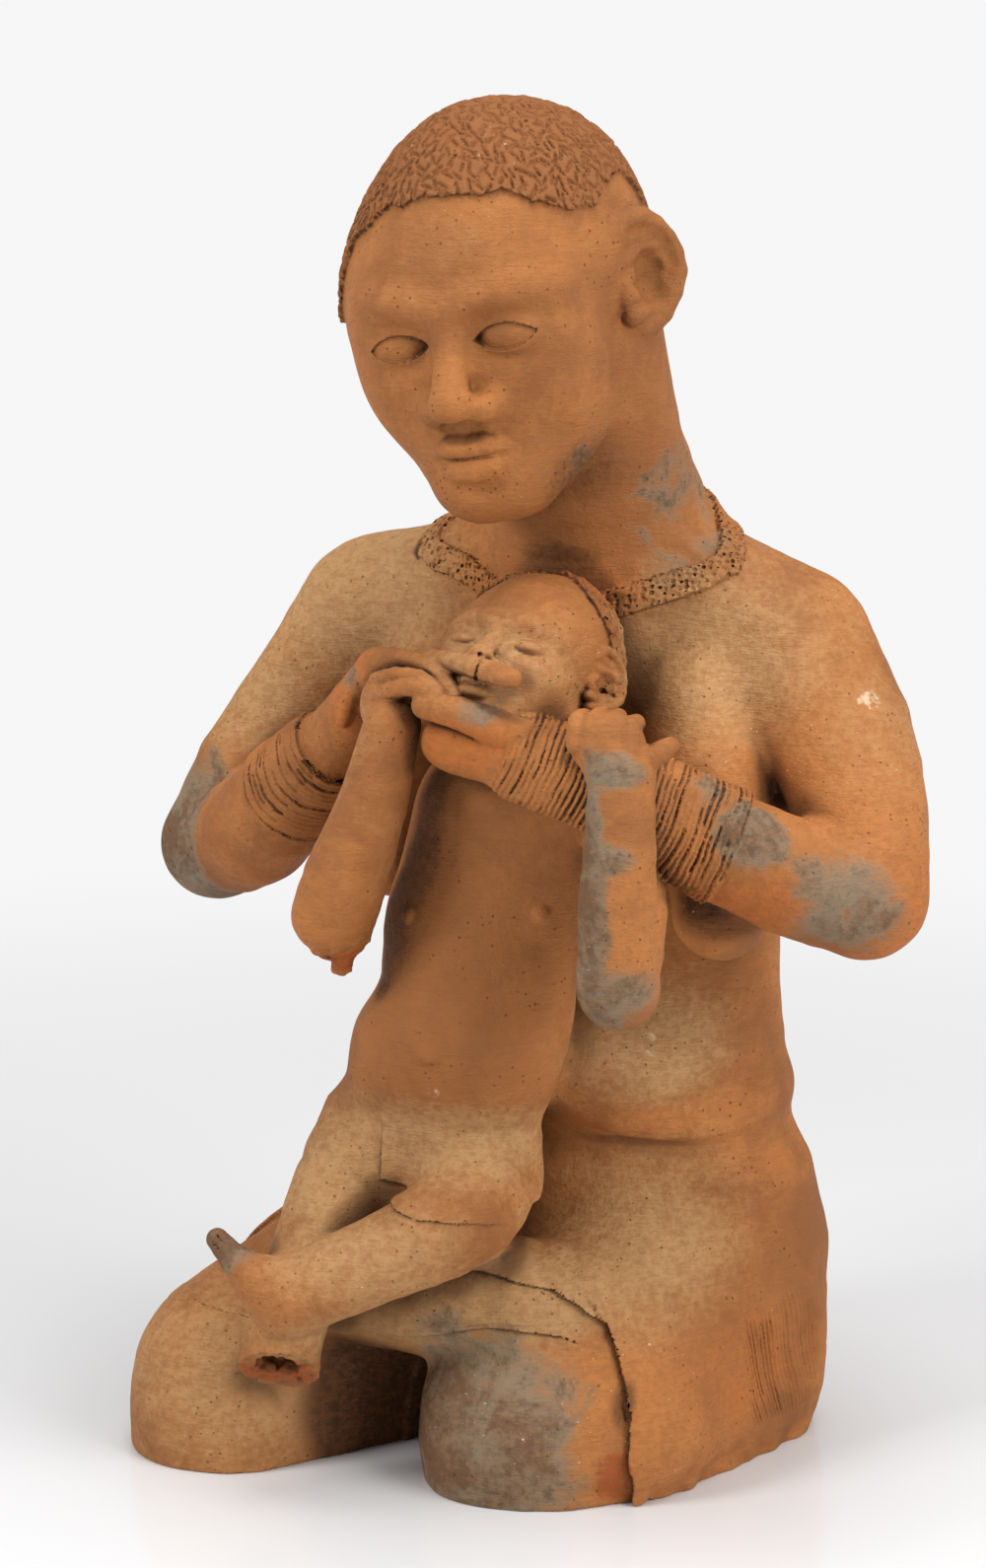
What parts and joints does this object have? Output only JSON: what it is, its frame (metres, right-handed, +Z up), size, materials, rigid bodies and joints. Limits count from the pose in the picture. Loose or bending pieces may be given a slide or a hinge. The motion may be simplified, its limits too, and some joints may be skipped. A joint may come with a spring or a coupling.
{
  "type": "african maternity figure",
  "caption": "Kneeling terracotta mother holding a child on its lap, with cropped hair, collar, wound bangles and a wrapper.",
  "frame": {"origin": "on the flat underside, which rests on the ground, below the middle of the folded legs", "axes": "+Z up; the mother faces -Y and its left hand is towards +X"},
  "size_m": [0.4404, 0.3088, 0.7003],
  "materials": {
    "terracotta": "unglazed fired clay, matt, orange-brown with buff patches and grey fire clouds"
  },
  "bodies": {
    "root": {"maternity_figure": "terracotta"}
  },
  "joints": []
}
